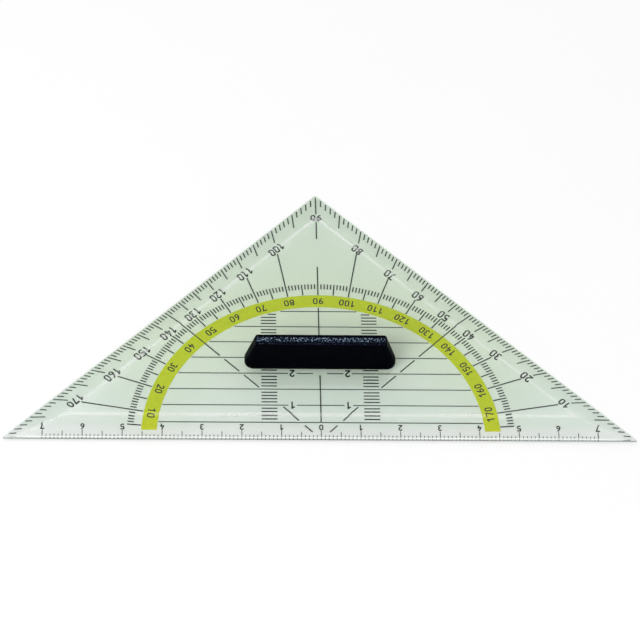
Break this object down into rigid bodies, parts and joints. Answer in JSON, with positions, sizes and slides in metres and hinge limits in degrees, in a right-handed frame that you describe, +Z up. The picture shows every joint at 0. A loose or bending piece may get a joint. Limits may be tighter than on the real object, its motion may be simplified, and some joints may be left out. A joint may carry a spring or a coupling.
{
  "type": "drafting triangle",
  "caption": "Clear right-angled drafting triangle with bevelled edges, stamped protractor and centimetre scales, and a black grip that plugs into the plate.",
  "frame": {"origin": "the zero mark: middle of the long edge, on the underside that lies on the paper", "axes": "+X along the long edge, +Y from the long edge towards the right-angled apex, +Z up from the paper towards the grip"},
  "size_m": [0.1594, 0.0799, 0.0113],
  "materials": {
    "clear_acrylic": "clear, very faint green, polished",
    "grip_plastic": "black, fine grain",
    "lime_ink": "lime stamped ink",
    "black_ink": "green-black stamped ink"
  },
  "bodies": {
    "plate": {"plate": "clear_acrylic", "protractor_band": "lime_ink", "band_numerals": "black_ink", "arc_ticks": "black_ink", "degree_rays": "black_ink", "diagonals": "black_ink", "parallels": "black_ink", "parallel_numerals": "black_ink", "centre_line": "black_ink", "left_ladder": "black_ink", "right_ladder": "black_ink", "edge_ticks": "black_ink", "edge_numerals": "black_ink", "left_leg_ticks": "black_ink", "right_leg_ticks": "black_ink", "left_leg_numerals": "black_ink", "right_leg_numerals": "black_ink", "apex_mark": "black_ink"},
    "grip": {"grip": "grip_plastic"}
  },
  "joints": [
    {"name": "grip_lift", "type": "slide", "parent": "plate", "child": "grip", "axis": [0, 0, 1], "range_m": [0, 0.012]}
  ]
}
